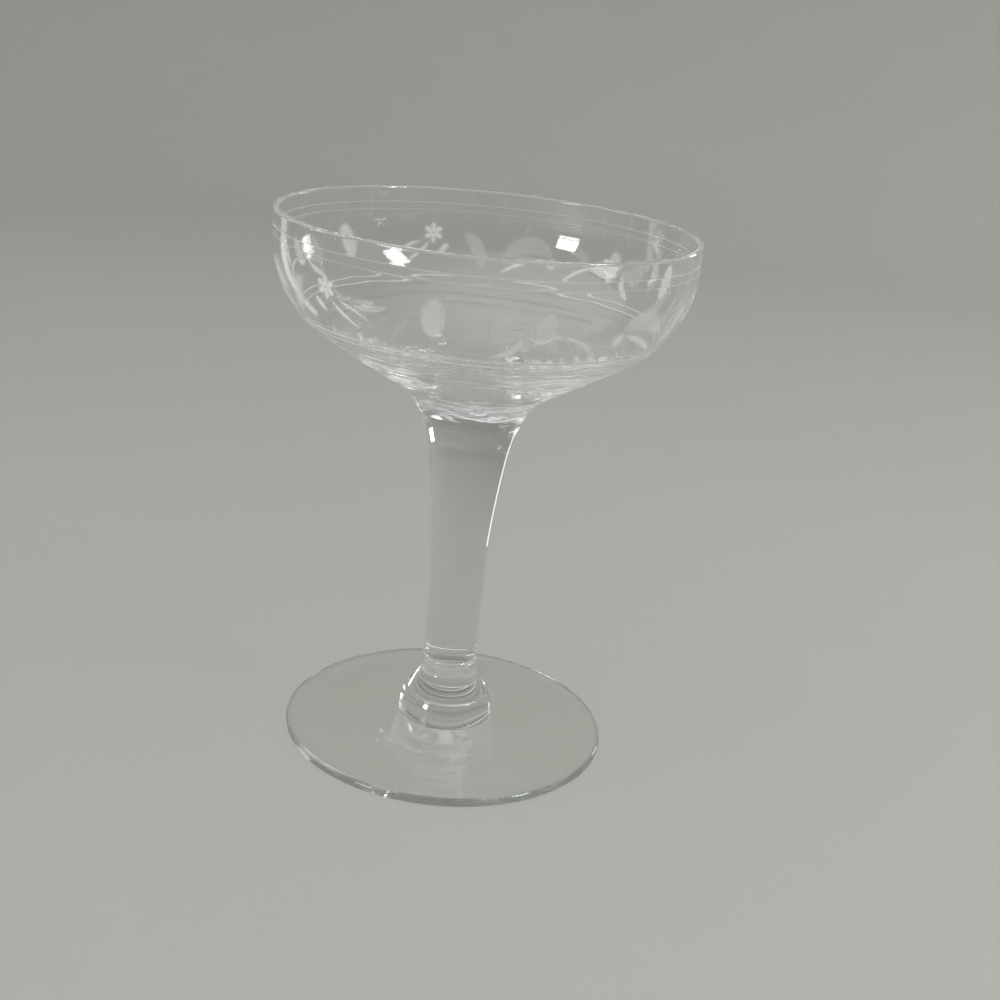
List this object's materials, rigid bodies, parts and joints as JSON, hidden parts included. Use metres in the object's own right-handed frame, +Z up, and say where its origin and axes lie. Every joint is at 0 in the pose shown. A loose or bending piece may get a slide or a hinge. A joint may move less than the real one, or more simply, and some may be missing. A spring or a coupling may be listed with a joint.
{
  "type": "coupe glass",
  "caption": "Shallow-bowled stemmed coupe glass with a flared solid stem, a bell-shaped button and a thin spread foot, for serving sparkling wine, cocktails or desserts.",
  "frame": {"origin": "centre of the foot's underside, on the surface that the glass stands on", "axes": "+Z up along the axis of the stem, which is the axis of revolution; -Y towards the picture's camera, +X to its right"},
  "size_m": [0.088, 0.088, 0.117],
  "materials": {
    "clear_glass": "clear, fire polished",
    "cut_glass": "clear, with a band of frosted wheel cuts"
  },
  "bodies": {
    "root": {"foot": "clear_glass", "button": "clear_glass", "collar": "clear_glass", "stem": "clear_glass", "bowl": "cut_glass"}
  },
  "joints": []
}
